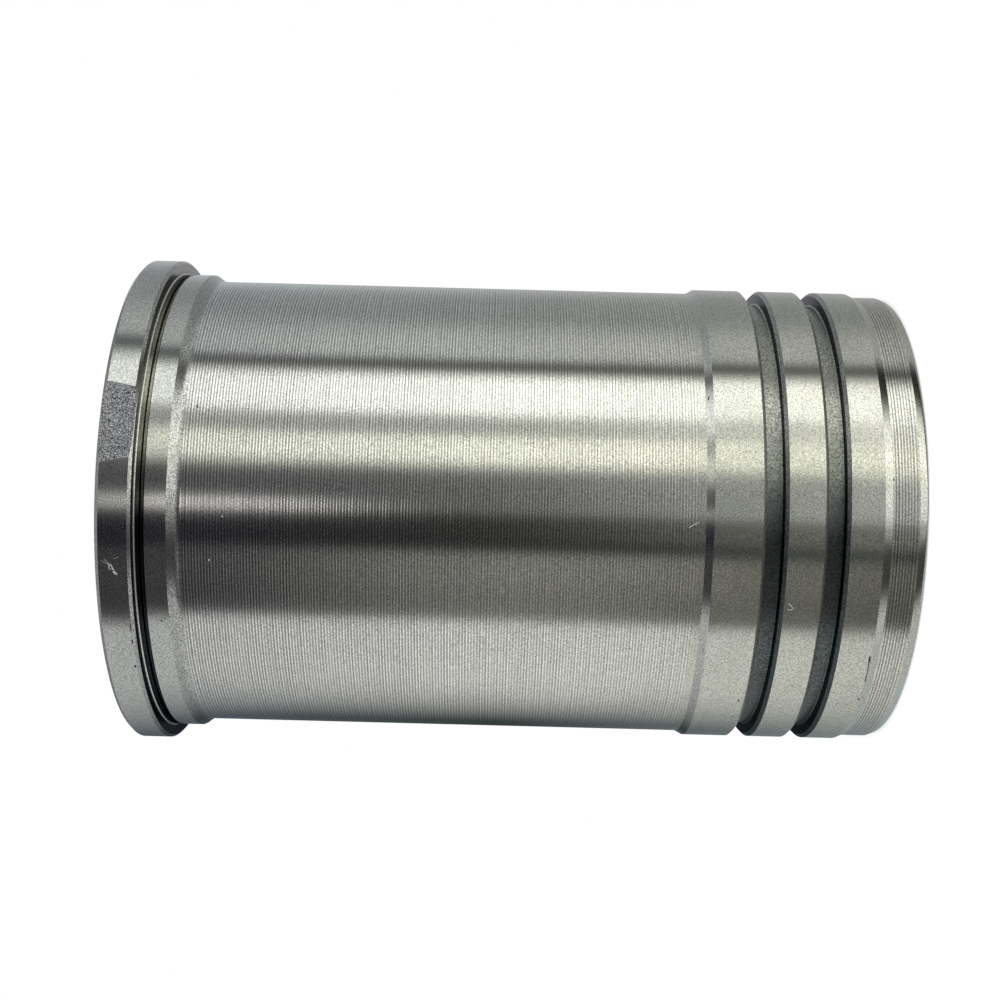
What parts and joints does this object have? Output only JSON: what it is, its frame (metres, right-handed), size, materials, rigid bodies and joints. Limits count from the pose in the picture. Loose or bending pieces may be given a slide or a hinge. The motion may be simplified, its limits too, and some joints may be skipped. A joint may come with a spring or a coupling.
{
  "type": "cylinder liner",
  "caption": "Flanged wet cylinder liner: a turned cast-iron sleeve with a smooth bore, a finely ridged barrel, and grooved sealing lands near the skirt.",
  "frame": {"origin": "centre of the skirt's end face, on the cylinder axis, where the liner stands", "axes": "+Z along the cylinder axis from the skirt to the flange; the flat on the flange rim faces -Y, turned 16.5 degrees towards +X"},
  "size_m": [0.125, 0.125, 0.1895],
  "materials": {
    "turned_iron": "fine turned, bright, with lathe feed marks"
  },
  "bodies": {
    "root": {"cylinder_liner": "turned_iron"}
  },
  "joints": []
}
